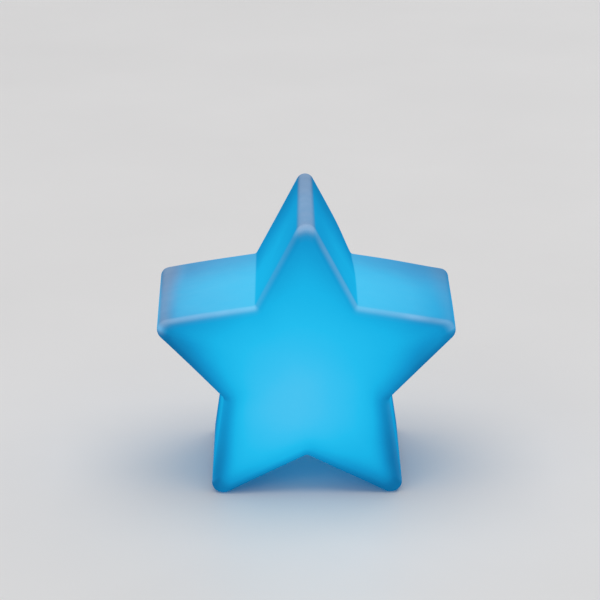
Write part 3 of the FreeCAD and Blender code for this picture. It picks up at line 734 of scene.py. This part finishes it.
def dress_nodes():
    """Gives every CAD node that stays a procedural material. Nodes of one metal or plastic share it."""
    white = plastic("white_abs", (0.74, 0.755, 0.77), rough=0.42)
    door_white = plastic("door_abs", (0.75, 0.765, 0.78), rough=0.40)
    inner_white = plastic("inner_abs", (0.82, 0.82, 0.82), rough=0.35)
    cap_grey = plastic("button_abs", (0.60, 0.62, 0.66), rough=0.32)
    zinc = metal("zinc", (0.62, 0.62, 0.60), rough=0.28)
    nickel = metal("nickel", (0.74, 0.71, 0.66), rough=0.22, stretch=(0.2, 1, 1))
    tin = metal("tin", (0.72, 0.72, 0.72), rough=0.30)
    steel = metal("spring_steel", (0.55, 0.55, 0.54), rough=0.3)
    can = metal("cell_can", (0.70, 0.69, 0.66), rough=0.18, stretch=(4, 0.5, 0.5), grain=0.002,
                tarnish=0.08)
    black = plastic("black_nylon", (0.018, 0.018, 0.020), rough=0.4)
    epoxy = plastic("chip_epoxy", (0.010, 0.010, 0.012), rough=0.2)
    natural = plastic("natural_nylon", (0.62, 0.60, 0.55), rough=0.4)
    seal = plastic("seal_nylon", (0.05, 0.09, 0.22), rough=0.4)
    resistor = plastic("resistor", (0.02, 0.02, 0.025), rough=0.3)
    ceramic = plastic("capacitor", (0.34, 0.22, 0.12), rough=0.4)
    wires = {"wire_positive": plastic("red_pvc", (0.50, 0.02, 0.015), rough=0.35),
             "wire_negative": plastic("black_pvc", (0.015, 0.015, 0.016), rough=0.35)}
    looks = {
        "module_housing": white, "battery_door": door_white, "front_cover": inner_white,
        "power_button": cap_grey, "door_screw": zinc, "door_screw_washer": zinc, "cover_screws": zinc,
        "board_screws": zinc, "contact_positive": nickel, "contact_negative": nickel, "led_leads": tin,
        "switch_pins": tin, "solder_joints": tin, "switch_body": black,
        "switch_plunger": natural, "controller_chip": epoxy, "resistors": resistor, "capacitor": ceramic,
        "circuit_board": board_mask(), "rgb_led": lit_epoxy(), "door_pad": foam(), "cell_gaskets": seal,
        "battery_cell_1": can, "battery_cell_2": can, "battery_cell_3": can, **wires,
    }
    for name, material in looks.items():
        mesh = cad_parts[name].data
        mesh.materials.clear()
        mesh.materials.append(material)
    screw_thread(zinc)
    return_spring(steel)


# Floor, lights and camera

FLOOR_R, FLOOR_SIDES = 3.5, 96
ROOM_LIGHT = (0.42, 0.425, 0.435, 1)


def floor():
    mesh = bpy.data.meshes.new("floor")
    turns = np.linspace(0, 2 * math.pi, FLOOR_SIDES + 1)[:-1]
    rim = [(FLOOR_R * math.cos(a), FLOOR_R * math.sin(a), 0.0) for a in turns]
    mesh.from_pydata(rim, [], [tuple(range(len(rim)))])
    piece = bpy.data.objects.new("floor", mesh)
    bpy.context.scene.collection.objects.link(piece)
    material, nodes, links, shader = new_material("pale_floor")
    tone = ramp(nodes, links, noise(nodes, links, size=0.15, detail=4.0),
                [(0.3, (0.79, 0.79, 0.79)), (0.7, (0.82, 0.82, 0.82))])
    links.new(tone, shader.inputs["Base Color"])
    links.new(ranged(nodes, links, noise(nodes, links, size=0.02), 0.45, 0.55), shader.inputs["Roughness"])
    mesh.materials.append(material)


def softbox(name, place, target, wide, deep, power, colour=(1, 1, 1)):
    data = bpy.data.lights.new(name, "AREA")
    data.shape = "RECTANGLE"
    data.size, data.size_y = wide, deep
    data.energy = power
    data.color = colour
    light = bpy.data.objects.new(name, data)
    bpy.context.scene.collection.objects.link(light)
    light.location = place
    light.rotation_euler = (Vector(target) - Vector(place)).to_track_quat("-Z", "Y").to_euler()


def lights():
    world = bpy.data.worlds.new("studio")
    bpy.context.scene.world = world
    world.use_nodes = True
    world.node_tree.nodes["Background"].inputs["Color"].default_value = ROOM_LIGHT
    softbox("overhead", place=(0.0, 0.3, 2.6), target=(0, 0.3, 0.0), wide=3.0, deep=3.0, power=40.0,
            colour=(1.0, 0.97, 0.95))
    softbox("front_fill", place=(-0.8, -1.4, 0.9), target=(0, 0, 0.05), wide=0.8, deep=0.8, power=2.0)
    softbox("back_fill", place=(0.9, 1.5, 0.8), target=(0, 0, 0.05), wide=0.9, deep=0.9, power=2.0)


# Camera: where it stands about the point it looks at, in metres
VIEW_TURN, VIEW_RISE, VIEW_ROLL = math.radians(-0.2), math.radians(18.5), math.radians(-0.26)
VIEW_DISTANCE = 1.184
VIEW_AIM = Vector((-2.3, 0.0, CENTRE_Z + 18.6)) * MM
SENSOR, LENS = 36.0, 180.3                                     # millimetres
CLIP_NEAR, CLIP_FAR = 0.05, 20.0


def camera():
    data = bpy.data.cameras.new("camera")
    data.sensor_width = SENSOR
    data.lens = LENS
    data.clip_start, data.clip_end = CLIP_NEAR, CLIP_FAR
    view = bpy.data.objects.new("camera", data)
    bpy.context.scene.collection.objects.link(view)
    back = Vector((math.sin(VIEW_TURN) * math.cos(VIEW_RISE), -math.cos(VIEW_TURN) * math.cos(VIEW_RISE),
                   math.sin(VIEW_RISE)))
    level = Vector((0, 0, 1)).cross(back).normalized()
    up = back.cross(level)
    across = level * math.cos(VIEW_ROLL) + up * math.sin(VIEW_ROLL)
    upright = up * math.cos(VIEW_ROLL) - level * math.sin(VIEW_ROLL)
    turn = Matrix((across, upright, back)).transposed().to_4x4()
    view.matrix_world = Matrix.Translation(VIEW_AIM + back * VIEW_DISTANCE) @ turn
    bpy.context.scene.camera = view


bpy.context.scene.view_settings.view_transform = "Standard"
star_piece()
dress_nodes()
floor()
lights()
camera()
